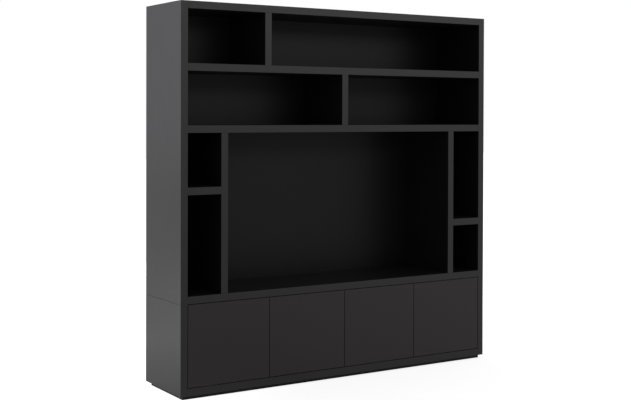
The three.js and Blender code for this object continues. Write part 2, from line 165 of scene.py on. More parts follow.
class FinishSheet(NodeSheet):
    """The node tree of one finish, round a single shader."""

    def __init__(self, name: str) -> None:
        """Start a finish with a plain shader.

        Args:
            name: The material's name.
        """
        self.material = bpy.data.materials.new(name)
        self.material.use_nodes = True
        super().__init__(self.material.node_tree)
        self.shader = self.tree.nodes["Principled BSDF"]
        self.place = self.node("TexCoord").outputs["Object"]

    def noise(self, scale: Point | float, detail: float, roughness: float = 0.5) -> bpy.types.NodeSocket:
        """Add a noise that is stretched along one direction or even in all.

        Args:
            scale: Waves to the metre along each axis, or one number for all three.
            detail: Octaves of finer noise.
            roughness: How strong the finer octaves are.

        Returns:
            The noise's value, from 0 to 1.
        """
        scale = (scale,) * 3 if isinstance(scale, float) else scale
        mapped = self.node("Mapping", {"Vector": self.place, "Scale": scale})
        waves = {"Vector": mapped.outputs["Vector"], "Scale": 1.0, "Detail": detail, "Roughness": roughness}
        return self.node("TexNoise", waves).outputs["Fac"]

    def spread(self, value: bpy.types.NodeSocket, low: float, high: float,
               start: float = 0.3, end: float = 0.7) -> bpy.types.NodeSocket:
        """Map a noise's range from start to end to another one from low to high."""
        ranges = {"Value": value, "From Min": start, "From Max": end, "To Min": low, "To Max": high}
        return self.node("MapRange", ranges).outputs["Result"]

    def vary(self, value: bpy.types.NodeSocket, share: float) -> bpy.types.NodeSocket:
        """Map a noise to a factor that strays from 1 by a share either way."""
        return self.spread(value, 1 - share, 1 + share)

    def times(self, first: bpy.types.NodeSocket, second: bpy.types.NodeSocket) -> bpy.types.NodeSocket:
        """Multiply two values."""
        return self.node("Math", {0: first, 1: second}, operation="MULTIPLY").outputs["Value"]

    def roughen(self, value: bpy.types.NodeSocket, low: float, high: float) -> None:
        """Let a noise move the shader's roughness between two values."""
        self.tree.links.new(self.spread(value, low, high), self.shader.inputs["Roughness"])

    def tint(self, tone: Sequence[int], factor: bpy.types.NodeSocket) -> None:
        """Give the shader a tone that a factor makes lighter and darker."""
        scaled = self.node("VectorMath", {0: linear(tone)[:3], "Scale": factor}, operation="SCALE")
        self.tree.links.new(scaled.outputs["Vector"], self.shader.inputs["Base Color"])

    def relief(self, heights: Sequence[tuple[bpy.types.NodeSocket, float]], strength: float) -> None:
        """Give the shader a relief of one or more patterns.

        Args:
            heights: Each pattern with its depth in metres.
            strength: How strongly the relief shows.
        """
        bump = None
        for height, depth in heights:
            links = {"Height": height, "Distance": depth, "Strength": strength}
            if bump is not None:
                links["Normal"] = bump.outputs["Normal"]
            bump = self.node("Bump", links)
        self.tree.links.new(bump.outputs["Normal"], self.shader.inputs["Normal"])

    def settle(self, **values: float) -> None:
        """Set sockets of the shader, named with underscores for spaces."""
        for key, value in values.items():
            self.shader.inputs[key.replace("_", " ")].default_value = value


@dataclass(frozen=True)
class WoodFoil:
    """Black foil with a faint wood grain, on boards and their edge bands."""

    name: str
    tone: tuple[int, int, int]
    along: Axis
    gloss_level: float = 0.45
    streak_waves: tuple[float, float] = (38.0, 0.9)
    line_waves: tuple[float, float] = (420.0, 7.0)
    pore_waves: tuple[float, float] = (1500.0, 45.0)
    mottle_waves: float = 3.0
    grain_share: float = 0.09
    mottle_share: float = 0.06
    pore_tones: tuple[float, float] = (1.0, 0.72)
    pore_edges: tuple[float, float] = (0.6, 0.72)
    roughness: tuple[float, float] = (0.37, 0.45)
    line_depth: float = 0.12 * MM
    pore_depth: float = 0.08 * MM
    relief_strength: float = 0.35

    def make(self) -> bpy.types.Material:
        """Lay out the foil: broad streaks, fine lines, short pores and a soft mottle.

        Returns:
            The material.
        """
        sheet = FinishSheet(self.name)
        streaks = sheet.noise(stretched(self.streak_waves, self.along), detail=4.0, roughness=0.6)
        lines = sheet.noise(stretched(self.line_waves, self.along), detail=3.0, roughness=0.6)
        pores = sheet.noise(stretched(self.pore_waves, self.along), detail=1.0)
        mottle = sheet.noise(self.mottle_waves, detail=3.0)
        broad = sheet.times(sheet.vary(streaks, self.grain_share), sheet.vary(mottle, self.mottle_share))
        fine = sheet.times(sheet.vary(lines, self.grain_share),
                           sheet.spread(pores, *self.pore_tones, *self.pore_edges))
        sheet.tint(self.tone, sheet.times(broad, fine))
        sheet.roughen(lines, *self.roughness)
        sheet.relief([(lines, self.line_depth), (pores, self.pore_depth)], self.relief_strength)
        sheet.settle(Specular_IOR_Level=self.gloss_level)
        return sheet.material


@dataclass(frozen=True)
class SatinLacquer:
    """Smooth satin lacquer with a faint orange peel, on the doors."""

    name: str
    tone: tuple[int, int, int]
    gloss_level: float = 0.45
    cloud_waves: float = 2.2
    peel_waves: float = 260.0
    dust_waves: float = 900.0
    cloud_share: float = 0.07
    dust_share: float = 0.05
    roughness: tuple[float, float] = (0.40, 0.46)
    peel_depth: float = 0.06 * MM
    dust_depth: float = 0.02 * MM
    relief_strength: float = 0.3

    def make(self) -> bpy.types.Material:
        """Lay out the lacquer: cloudy tone, fine orange peel and uneven sheen.

        Returns:
            The material.
        """
        sheet = FinishSheet(self.name)
        cloud = sheet.noise(self.cloud_waves, detail=3.0)
        peel = sheet.noise(self.peel_waves, detail=1.0)
        dust = sheet.noise(self.dust_waves, detail=2.0)
        factor = sheet.times(sheet.vary(cloud, self.cloud_share), sheet.vary(dust, self.dust_share))
        sheet.tint(self.tone, factor)
        sheet.roughen(cloud, *self.roughness)
        sheet.relief([(peel, self.peel_depth), (dust, self.dust_depth)], self.relief_strength)
        sheet.settle(Specular_IOR_Level=self.gloss_level)
        return sheet.material


@dataclass(frozen=True)
class PlatedMetal:
    """Plated metal with a fine brushed or spangled surface."""

    name: str
    tone: tuple[int, int, int]
    roughness: float
    brushed: Axis = Axis.Z
    mark_waves: tuple[float, float] = (900.0, 60.0)
    cloud_waves: float = 70.0
    tones: tuple[float, float] = (0.92, 1.05)
    smoother: float = 0.06
    rougher: float = 0.08
    mark_depth: float = 0.02 * MM
    relief_strength: float = 0.3

    def make(self) -> bpy.types.Material:
        """Lay out the plating: brush marks, faint clouds and a metal shader.

        Returns:
            The material.
        """
        sheet = FinishSheet(self.name)
        marks = sheet.noise(stretched(self.mark_waves, self.brushed), detail=2.0)
        cloud = sheet.noise(self.cloud_waves, detail=3.0)
        factor = sheet.times(sheet.spread(marks, *self.tones), sheet.spread(cloud, *self.tones))
        sheet.tint(self.tone, factor)
        sheet.roughen(marks, self.roughness - self.smoother, self.roughness + self.rougher)
        sheet.relief([(marks, self.mark_depth)], self.relief_strength)
        sheet.settle(Metallic=1.0)
        return sheet.material


@dataclass(frozen=True)
class MouldedPlastic:
    """Moulded plastic with a fine spark-eroded grain."""

    name: str
    tone: tuple[int, int, int]
    roughness: float
    grain_waves: float = 1800.0
    flow_waves: float = 45.0
    grain_share: float = 0.1
    flow_share: float = 0.06
    roughness_share: float = 0.05
    grain_depth: float = 0.03 * MM
    relief_strength: float = 0.3
    gloss_level: float = 0.35

    def make(self) -> bpy.types.Material:
        """Lay out the plastic: fine grain, faint flow clouds.

        Returns:
            The material.
        """
        sheet = FinishSheet(self.name)
        grain = sheet.noise(self.grain_waves, detail=2.0)
        flow = sheet.noise(self.flow_waves, detail=2.0)
        factor = sheet.times(sheet.vary(grain, self.grain_share), sheet.vary(flow, self.flow_share))
        sheet.tint(self.tone, factor)
        sheet.roughen(grain, self.roughness - self.roughness_share, self.roughness + self.roughness_share)
        sheet.relief([(grain, self.grain_depth)], self.relief_strength)
        sheet.settle(Specular_IOR_Level=self.gloss_level)
        return sheet.material


class Finishes:
    """The finishes of the cabinet, each made once."""

    WOOD_TONE = (18, 18, 19)
    # The panel tone is darker than the wood's, partly as the panels' own tone and partly as painted shade
    # that keeps the niche backs, the base's inner boards and the plinth dark.
    PANEL_TONE_WITH_PAINTED_SHADE = (13, 13, 14)
    PANEL_GLOSS_LEVEL = 0.2
    DOOR_TONE = (29, 18, 22)
    NICKEL_TONE = (176, 174, 168)
    ZINC_TONE = (158, 160, 162)
    SCREW_TONE = (52, 52, 54)
    GREY_PLASTIC_TONE = (104, 106, 109)
    BLACK_PLASTIC_TONE = (24, 24, 25)

    def __init__(self) -> None:
        """Make every finish."""
        self.wood = self.foils("black_wood_foil", self.WOOD_TONE)
        # The panel foil is a darker copy of the wood foil: partly the panels' own tone, partly painted
        # shade.
        self.panel = self.foils("black_panel_foil_with_painted_shade", self.PANEL_TONE_WITH_PAINTED_SHADE, gloss_level=self.PANEL_GLOSS_LEVEL)
        self.door = SatinLacquer("black_door_lacquer", self.DOOR_TONE).make()
        self.nickel = PlatedMetal("nickel_plate", self.NICKEL_TONE, roughness=0.3).make()
        self.zinc = PlatedMetal("zinc_plate", self.ZINC_TONE, roughness=0.38, brushed=Axis.X).make()
        self.dark_screw = PlatedMetal("black_oxide", self.SCREW_TONE, roughness=0.42, brushed=Axis.X).make()
        self.grey_plastic = MouldedPlastic("grey_moulding", self.GREY_PLASTIC_TONE, roughness=0.5).make()
        self.black_plastic = MouldedPlastic("black_moulding", self.BLACK_PLASTIC_TONE, roughness=0.5).make()

    @staticmethod
    def foils(name: str, tone: tuple[int, int, int], **settings: float) -> dict[Axis, bpy.types.Material]:
        """Make a foil for each way that the grain can run."""
        return {axis: WoodFoil(f"{name}_{axis.name}", tone, axis, **settings).make() for axis in Axis}


# ---------------------------------------------------------------- work with the operators


class Bench:
    """Operator steps that all the pieces are made with."""

    BEVEL_ANGLE = math.radians(35)
    SMOOTH_ANGLE = math.radians(32)

    @staticmethod
    def lay_down() -> None:
        """Leave nothing selected."""
        if bpy.context.object is not None and bpy.context.object.mode != "OBJECT":
            bpy.ops.object.mode_set(mode="OBJECT")
        bpy.ops.object.select_all(action="DESELECT")

    @staticmethod
    def take(piece: Piece) -> None:
        """Make one piece the only selected and the active one.

        Args:
            piece: The piece.
        """
        Bench.lay_down()
        piece.select_set(True)
        bpy.context.view_layer.objects.active = piece

    @staticmethod
    def settle(name: str) -> Piece:
        """Name the active new piece and put its place into its mesh.

        Args:
            name: The piece's name.

        Returns:
            The piece.
        """
        piece = bpy.context.object
        piece.name = name
        piece.data.name = name
        bpy.ops.object.transform_apply(location=True, rotation=True, scale=True)
        return piece

    @staticmethod
    def block(name: str, low: Sequence[float], high: Sequence[float]) -> Piece:
        """Start a piece from a block between two corners.

        Args:
            name: The piece's name.
            low: Its lowest corner.
            high: Its highest corner.

        Returns:
            The block.
        """
        Bench.lay_down()
        low, high = Vector(low), Vector(high)
        bpy.ops.mesh.primitive_cube_add(size=1, location=(low + high) / 2, scale=high - low)
        return Bench.settle(name)

    @staticmethod
    def bar(name: str, start: Sequence[float], axis: Axis, radius: float, length: float,
            sides: int = 32) -> Piece:
        """Start a piece from a round bar.

        Args:
            name: The piece's name.
            start: The middle of its first end.
            axis: The direction that it runs in.
            radius: Its radius.
            length: Its length, negative to run the other way.
            sides: How many sides stand for the round.

        Returns:
            The bar.
        """
        Bench.lay_down()
        turn = {Axis.X: (0, math.pi / 2, 0), Axis.Y: (-math.pi / 2, 0, 0), Axis.Z: (0, 0, 0)}[axis]
        middle = Vector(start)
        middle[axis.value] += length / 2
        bpy.ops.mesh.primitive_cylinder_add(vertices=sides, radius=radius, depth=abs(length),
                                            location=middle, rotation=turn)
        return Bench.settle(name)

    @staticmethod
    def pick_faces(piece: Piece, wanted: Callable[[bmesh.types.BMFace], bool]) -> None:
        """Open a piece in edit mode with only the wanted faces selected.

        Args:
            piece: The piece.
            wanted: Says whether a face is wanted.
        """
        Bench.take(piece)
        bpy.ops.object.mode_set(mode="EDIT")
        bpy.ops.mesh.select_mode(type="FACE")
        bpy.ops.mesh.select_all(action="DESELECT")
        mesh = bmesh.from_edit_mesh(piece.data)
        for face in mesh.faces:
            face.select_set(wanted(face))
        bmesh.update_edit_mesh(piece.data)

    @staticmethod
    def pick_edges(piece: Piece, wanted: Callable[[Vector, Vector], bool]) -> None:
        """Open a piece in edit mode with only the wanted edges selected.

        Args:
            piece: The piece.
            wanted: Says whether an edge between two points is wanted.
        """
        Bench.take(piece)
        bpy.ops.object.mode_set(mode="EDIT")
        bpy.ops.mesh.select_mode(type="EDGE")
        bpy.ops.mesh.select_all(action="DESELECT")
        mesh = bmesh.from_edit_mesh(piece.data)
        for edge in mesh.edges:
            edge.select_set(wanted(edge.verts[0].co, edge.verts[1].co))
        bmesh.update_edit_mesh(piece.data)

    @staticmethod
    def round_picked(radius: float, segments: int) -> None:
        """Round the edges picked in edit mode and close it."""
        bpy.ops.mesh.bevel(offset=radius, segments=segments, affect="EDGES", clamp_overlap=True)
        bpy.ops.object.mode_set(mode="OBJECT")

    @staticmethod
    def modify(piece: Piece, kind: str, **settings: object) -> None:
        """Give a piece a modifier and apply it.

        Args:
            piece: The piece.
            kind: The modifier's type.
            settings: Its properties.
        """
        Bench.take(piece)
        modifier = piece.modifiers.new(kind.title(), kind)
        for key, value in settings.items():
            setattr(modifier, key, value)
        bpy.ops.object.modifier_apply(modifier=modifier.name)

    @staticmethod
    def soften(piece: Piece, radius: float, segments: int = 2) -> Piece:
        """Round every sharp edge of a piece with a few faces and shade it smooth."""
        Bench.modify(piece, "BEVEL", width=radius, segments=segments, limit_method="ANGLE",
                     angle_limit=Bench.BEVEL_ANGLE)
        return Bench.shade(piece)

    @staticmethod
    def shade(piece: Piece) -> Piece:
        """Shade a piece smooth round its small edges, and keep its large faces flat.

        Args:
            piece: The piece.

        Returns:
            The piece.
        """
        Bench.take(piece)
        bpy.ops.object.shade_smooth_by_angle(angle=Bench.SMOOTH_ANGLE)
        Bench.modify(piece, "WEIGHTED_NORMAL", mode="FACE_AREA", weight=100, keep_sharp=True)
        return piece

    @staticmethod
    def cut(piece: Piece, cutters: Sequence[Piece]) -> None:
        """Cut the cutters out of a piece and clear them away.

        Args:
            piece: The piece.
            cutters: What is cut out of it.
        """
        tool = Bench.join(cutters[0].name, cutters)
        Bench.modify(piece, "BOOLEAN", operation="DIFFERENCE", solver="EXACT", object=tool)
        bpy.data.objects.remove(tool)

    @staticmethod
    def join(name: str, parts: Sequence[Piece]) -> Piece:
        """Join parts into the first of them.

        Args:
            name: The joined piece's name.
            parts: The parts.

        Returns:
            The joined piece.
        """
        Bench.take(parts[0])
        for part in parts[1:]:
            part.select_set(True)
        if len(parts) > 1:
            bpy.ops.object.join()
        parts[0].name = name
        return parts[0]

    @staticmethod
    def copy(piece: Piece, name: str, move: Matrix) -> Piece:
        """Copy a piece with a mesh of its own, placed in the mesh.

        Args:
            piece: The piece.
            name: The copy's name.
            move: Where the copy goes.

        Returns:
            The copy.
        """
        twin = piece.copy()
        twin.data = piece.data.copy()
        twin.name = name
        twin.data.transform(move)
        bpy.context.scene.collection.objects.link(twin)
        return twin

    @staticmethod
    def dress(piece: Piece, finish: bpy.types.Material, body: str, slot: Slot,
              nodes: Iterable[str] = ()) -> None:
        """Give a finished piece its finish and body, and hide the nodes that it stands for.

        Args:
            piece: The piece.
            finish: Its material.
            body: The body it moves with.
            slot: The record's slot of its finish; not used.
            nodes: The nodes that it replaces.
        """
        piece.data.materials.clear()
        piece.data.materials.append(finish)
        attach(piece, body)
        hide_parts(*nodes)
        LOG.info("%s rides on %s", piece.name, body)


# ---------------------------------------------------------------- fasteners


@dataclass
class ScrewHead:
    """A pan head screw as it shows in a board, made once and copied to each place."""

    finish: bpy.types.Material
    slot: Slot
    radius: float = 3.6 * MM
    height: float = 1.6 * MM
    recess_length_share: float = 1.15
    recess_width_share: float = 0.24
    recess_depth_share: float = 0.7
    rounding_share: float = 0.55
    sides: int = 20
    pattern: Optional[Piece] = None

    def model(self) -> Piece:
        """Make the head at the origin, standing along +Z, with a cross recess.

        Returns:
            The pattern piece.
        """
        head = Bench.bar("screw_pattern", (0, 0, 0), Axis.Z, self.radius, self.height, self.sides)
        Bench.pick_edges(head, lambda a, b: min(a.z, b.z) > self.height - ON_FACE)
        Bench.round_picked(self.height * self.rounding_share, segments=3)
        length = self.radius * self.recess_length_share / 2
        width = self.radius * self.recess_width_share / 2
        floor = self.height * (1 - self.recess_depth_share)
        top = self.height * 2
        cross = [Bench.block("slot_a", (-length, -width, floor), (length, width, top)),
                 Bench.block("slot_b", (-width, -length, floor), (width, length, top))]
        for arm in cross:
            Bench.cut(head, [arm])
        Bench.shade(head)
        return head

    def set_in(self, name: str, at: Sequence[float], facing: Sequence[float], body: str) -> None:
        """Put one screw at a place.

        Args:
            name: The screw's name.
            at: The middle of the head's seat.
            facing: The way that the head looks.
            body: The body it moves with.
        """
        if self.pattern is None:
            self.pattern = self.model()
        turn = Vector((0, 0, 1)).rotation_difference(Vector(facing)).to_matrix().to_4x4()
        screw = Bench.copy(self.pattern, name, Matrix.Translation(Vector(at)) @ turn)
        Bench.dress(screw, self.finish, body, self.slot)

    def put_away(self) -> None:
        """Remove the pattern piece once all the copies are made."""
        if self.pattern is not None:
            bpy.data.objects.remove(self.pattern)
            self.pattern = None


# ---------------------------------------------------------------- boards


@dataclass
class Hole:
    """A round hole through or into a board."""

    start: Point
    axis: Axis
    radius: float
    length: float

    @classmethod
    def through(cls, node: str, middle: Sequence[float], axis: Axis, radius: float) -> "Hole":
        """Lay out a hole right through a board.

        Args:
            node: The board's node.
            middle: A point on the line through the hole's middle.
            axis: The direction that the hole runs in.
            radius: Its radius.

        Returns:
            The hole.
        """
        low, high = (corner[axis.value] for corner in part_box(node))
        start = list(middle)
        start[axis.value] = low - OVERRUN
        return cls(tuple(start), axis, radius, high - low + 2 * OVERRUN)

    def cutter(self) -> Piece:
        """Make the bar that cuts the hole."""
        return Bench.bar("hole_cutter", self.start, self.axis, self.radius, self.length)


@dataclass(frozen=True)
class Seam:
    """A thin slot in the outer face of a side board, where the base unit and the upper unit meet."""

    node: str
    half_gap: float = 0.8 * MM
    depth: float = 2 * MM

    def cutter(self) -> Piece:
        """Make the block that cuts the slot.

        Returns:
            The cutter.
        """
        low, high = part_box(self.node)
        seam = high.z if self.node.startswith("base") else low.z
        outer = max(low.x, high.x, key=abs)
        reach = Vector((self.depth, self.half_gap, self.half_gap))
        return Bench.block("seam_cutter", Vector((outer, low.y, seam)) - reach,
                           Vector((outer, high.y, seam)) + reach)


@dataclass
class Board:
    """A foil-faced board with a banded front edge, standing for one node."""

    node: str
    finishes: Finishes
    grain: Axis
    slot: Slot = Slot.WOOD
    band: float = 1.0 * MM
    core_radius: float = 0.35 * MM
    band_radius: float = 0.8 * MM
    holes: list[Hole | Seam] = field(default_factory=list)

    def foil(self) -> bpy.types.Material:
        """Return the foil of the board's slot, with the board's grain."""
        return (self.finishes.wood if self.slot is Slot.WOOD else self.finishes.panel)[self.grain]

    def build(self) -> None:
        """Make the board and the band along its front edge."""
        low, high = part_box(self.node)
        front = low.y + self.band
        core = Bench.block(f"{self.node}_board", (low.x, front, low.z), high)
        Bench.soften(core, self.core_radius)
        if self.holes:
            Bench.cut(core, [hole.cutter() for hole in self.holes])
            Bench.shade(core)
        Bench.dress(core, self.foil(), "cabinet", self.slot, [self.node])
        if self.band > 0:
            strip = Bench.block(f"{self.node}_edge_band", low, (high.x, front, high.z))
            Bench.pick_edges(strip, lambda a, b: max(a.y, b.y) < low.y + self.band / 2)
            Bench.round_picked(self.band_radius, segments=3)
            Bench.shade(strip)
            Bench.dress(strip, self.foil(), "cabinet", self.slot)


@dataclass
class Plinth:
    """The four flat strips that the cabinet stands on."""

    finishes: Finishes
    edge_radius: float = 0.6 * MM

    def build(self) -> None:
        """Make the strips."""
        for side, grain in {"front": Axis.X, "back": Axis.X, "left": Axis.Y, "right": Axis.Y}.items():
            node = f"plinth_{side}"
            strip = Bench.block(f"{node}_strip", *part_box(node))
            Bench.soften(strip, self.edge_radius)
            # The strips take the darker panel foil, whose tone is partly their own and partly painted shade
            # under the cabinet.
            Bench.dress(strip, self.finishes.panel[grain], "cabinet", Slot.PANEL, [node])


@dataclass
class PinRow:
    """Rows of shelf pin holes in one face of an upright board, and the pins that carry a shelf."""

    pitch: float = 32 * MM
    rows_each_way: int = 3
    hole_radius: float = 2.5 * MM
    hole_depth: float = 7 * MM
    from_front: float = 37 * MM
    pin_reach: float = 7 * MM
    collar_radius: float = 4 * MM
    collar_length: float = 1.2 * MM
    shaft_share: float = 0.96
    edge_radius: float = 0.25 * MM
    sides: int = 24

    def columns(self, shelf: str) -> tuple[float, float]:
        """Return the two depths at which the columns of holes stand."""
        low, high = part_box(shelf)
        return low.y + self.from_front, high.y - self.from_front

    def seat(self, shelf: str) -> float:
        """Return the height of the pins that carry the shelf."""
        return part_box(shelf)[0].z - self.hole_radius

    def holes(self, face_x: float, inwards: float, shelf: str) -> list[Hole]:
        """List the holes of one face.

        Args:
            face_x: The face's place.
            inwards: 1 where the board lies towards +X of its face, or -1.
            shelf: The shelf that the pins carry.

        Returns:
            The holes.
        """
        steps = range(-self.rows_each_way, self.rows_each_way + 1)
        heights = [self.seat(shelf) + step * self.pitch for step in steps]
        start = face_x - inwards * OVERRUN
        length = inwards * (self.hole_depth + OVERRUN)
        return [Hole((start, y, z), Axis.X, self.hole_radius, length)
                for y in self.columns(shelf) for z in heights]

    def pins(self, face_x: float, inwards: float, shelf: str, label: str,
             finish: bpy.types.Material) -> None:
        """Make the two pins in one face.

        Args:
            face_x: The face's place.
            inwards: 1 where the board lies towards +X of its face, or -1.
            shelf: The shelf that they carry.
            label: The face's name for the pins' names.
            finish: Their material.
        """
        for place, y in zip(("front", "rear"), self.columns(shelf)):
            name = f"{shelf}_pin_{label}_{place}"
            z = self.seat(shelf)
            shaft = Bench.bar(name, (face_x + inwards * self.hole_depth, y, z), Axis.X,
                              self.hole_radius * self.shaft_share,
                              -inwards * (self.hole_depth + self.pin_reach), self.sides)
            collar = Bench.bar("collar", (face_x, y, z - self.collar_radius + self.hole_radius), Axis.X,
                               self.collar_radius, -inwards * self.collar_length, self.sides)
            pin = Bench.soften(Bench.join(name, [shaft, collar]), self.edge_radius)
            Bench.dress(pin, finish, "cabinet", Slot.NICKEL)


@dataclass
class BaseUnit:
    """The lower unit: sides, bottom, top panel, partitions, loose shelves and back."""

    finishes: Finishes
    pin_rows: PinRow = field(default_factory=PinRow)
    thin_band: float = 0.8 * MM
    deck_outlet_radius: float = 30 * MM
    back_outlet_radius: float = 40 * MM
    back_outlet_height: float = 110 * MM

    def pin_faces(self) -> dict[str, list[tuple[float, float, str, str]]]:
        """List the faces with shelf pins of each upright board.

        Returns:
            For each board, each face's place, its way in, its shelf and its label.
        """
        left_wall, right_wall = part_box("base_side_left")[1].x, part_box("base_side_right")[0].x
        (low_left, high_left), (low_right, high_right) = (
            [corner.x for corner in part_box(f"base_partition_{side}")] for side in ("left", "right"))
        return {
            "base_side_left": [(left_wall, -1, "base_shelf_left", "outer")],
            "base_partition_left": [(low_left, 1, "base_shelf_left", "inner"),
                                    (high_left, -1, "base_shelf_middle", "left")],
            "base_partition_right": [(low_right, 1, "base_shelf_middle", "right"),
                                     (high_right, -1, "base_shelf_right", "inner")],
            "base_side_right": [(right_wall, 1, "base_shelf_right", "outer")],
        }

    def build(self) -> None:
        """Make the boards, and the pins that carry the loose shelves."""
        for node, faces in self.pin_faces().items():
            holes = [hole for face_x, inwards, shelf, _ in faces
                     for hole in self.pin_rows.holes(face_x, inwards, shelf)]
            side = node.startswith("base_side")
            holes += [Seam(node)] if side else []
            Board(node, self.finishes, Axis.Z, Slot.WOOD if side else Slot.PANEL,
                  band=Board.band if side else self.thin_band, holes=holes).build()
            for face_x, inwards, shelf, label in faces:
                self.pin_rows.pins(face_x, inwards, shelf, label, self.finishes.nickel)
        Board("base_bottom", self.finishes, Axis.X).build()
        for side in ("left", "middle", "right"):
            Board(f"base_shelf_{side}", self.finishes, Axis.X, Slot.PANEL, self.thin_band).build()
        self.build_outlet_boards()

    def build_outlet_boards(self) -> None:
        """Make the top panel and the back, which have cable outlets."""
        middle = middle_of("deck_cable_sleeve")
        outlet = Hole.through("base_top_panel", middle, Axis.Z, self.deck_outlet_radius)
        Board("base_top_panel", self.finishes, Axis.X, Slot.PANEL, self.thin_band, holes=[outlet]).build()
        middle.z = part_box("base_back")[0].z + self.back_outlet_height
        outlet = Hole.through("base_back", middle, Axis.Y, self.back_outlet_radius)
        Board("base_back", self.finishes, Axis.X, Slot.PANEL, 0, holes=[outlet]).build()


@dataclass
class UpperUnit:
    """The open upper unit: sides, top, deck, shelves, dividers, uprights and back panels."""

    finishes: Finishes
    outlet_radius: float = 30 * MM
    cap_radius: float = 8.5 * MM
    cap_height: float = 0.8 * MM
    cap_from_end: float = 34 * MM
    cap_from_edge: float = 50 * MM
    cap_rim_share: float = 0.22
    cap_dish_share: float = 0.3
    cap_edge_radius: float = 0.25 * MM
    cap_sides: int = 28

    def boards(self) -> dict[str, Axis]:
        """List the plain boards.

        Returns:
            Each board with the way that its grain runs.
        """
        level = ("upper_top", "upper_shelf_low", "upper_shelf_high",
                 "column_shelf_left", "column_shelf_right")
        upright = ("upper_side_left", "upper_side_right", "divider_middle", "divider_high",
                   "upright_left", "upright_right")
        return {**dict.fromkeys(level, Axis.X), **dict.fromkeys(upright, Axis.Z)}

    def build(self) -> None:
        """Make the boards, the back panels and the caps over the cam fittings."""
        for node, grain in self.boards().items():
            seams = [Seam(node)] if node.startswith("upper_side") else []
            Board(node, self.finishes, grain, holes=seams).build()
        outlet = Hole.through("upper_deck", middle_of("deck_cable_sleeve"), Axis.Z, self.outlet_radius)
        Board("upper_deck", self.finishes, Axis.X, holes=[outlet]).build()
        outlet = Hole.through("upper_back_low", middle_of("back_cable_sleeve"), Axis.Y, self.outlet_radius)
        Board("upper_back_low", self.finishes, Axis.Z, Slot.PANEL, band=0, holes=[outlet]).build()
        Board("upper_back_high", self.finishes, Axis.Z, Slot.PANEL, band=0).build()
        self.build_cam_caps()

    def build_cam_caps(self) -> None:
        """Make the round caps over the cam fittings, under both ends of each level board."""
        pattern = Bench.bar("cap_pattern", (0, 0, 0), Axis.Z, self.cap_radius, -self.cap_height,
                            self.cap_sides)
        Bench.pick_faces(pattern, lambda face: face.normal.z < -FACING)
        bpy.ops.mesh.inset(thickness=self.cap_radius * self.cap_rim_share)
        bpy.ops.transform.translate(value=(0, 0, self.cap_height * self.cap_dish_share))
        bpy.ops.object.mode_set(mode="OBJECT")
        Bench.soften(pattern, self.cap_edge_radius)
        for node in ("upper_top", "upper_shelf_high", "upper_shelf_low",
                     "column_shelf_left", "column_shelf_right"):
            low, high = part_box(node)
            ends = {"left": low.x + self.cap_from_end, "right": high.x - self.cap_from_end}
            edges = {"front": low.y + self.cap_from_edge, "rear": high.y - self.cap_from_edge}
            for (end, x), (place, y) in product(ends.items(), edges.items()):
                name = f"{node}_cam_cap_{end}_{place}"
                cap = Bench.copy(pattern, name, Matrix.Translation((x, y, low.z)))
                Bench.dress(cap, self.finishes.black_plastic, "cabinet", Slot.BLACK_PLASTIC)
        bpy.data.objects.remove(pattern)


@dataclass
class BackScrews:
    """The screws that hold the back panels to the boards round them."""

    screws: ScrewHead
    spacing: float = 230 * MM
    from_edge: float = 9 * MM
    from_corner_share: float = 0.25

    def row(self, label: str, first: Sequence[float], last: Sequence[float]) -> None:
        """Set an even row of screws between two points on the back.

        Args:
            label: The row's name.
            first: Where the row starts.
            last: Where it ends.
        """
        first, last = Vector(first), Vector(last)
        count = max(2, round((last - first).length / self.spacing) + 1)
        for index in range(count):
            at = first.lerp(last, index / (count - 1))
            self.screws.set_in(f"back_screw_{label}_{index + 1}", at, (0, 1, 0), "cabinet")

    def build(self) -> None:
        """Set one row along each edge of each panel."""
        for node in ("base_back", "upper_back_low", "upper_back_high"):
            low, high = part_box(node)
            y = high.y
            x0, x1 = low.x + self.from_edge, high.x - self.from_edge
            z0, z1 = low.z + self.from_edge, high.z - self.from_edge
            self.row(f"{node}_bottom", (x0, y, z0), (x1, y, z0))
            self.row(f"{node}_top", (x0, y, z1), (x1, y, z1))
            inner = (z1 - z0) * self.from_corner_share
            self.row(f"{node}_left", (x0, y, z0 + inner), (x0, y, z1 - inner))
            self.row(f"{node}_right", (x1, y, z0 + inner), (x1, y, z1 - inner))


# ---------------------------------------------------------------- doors


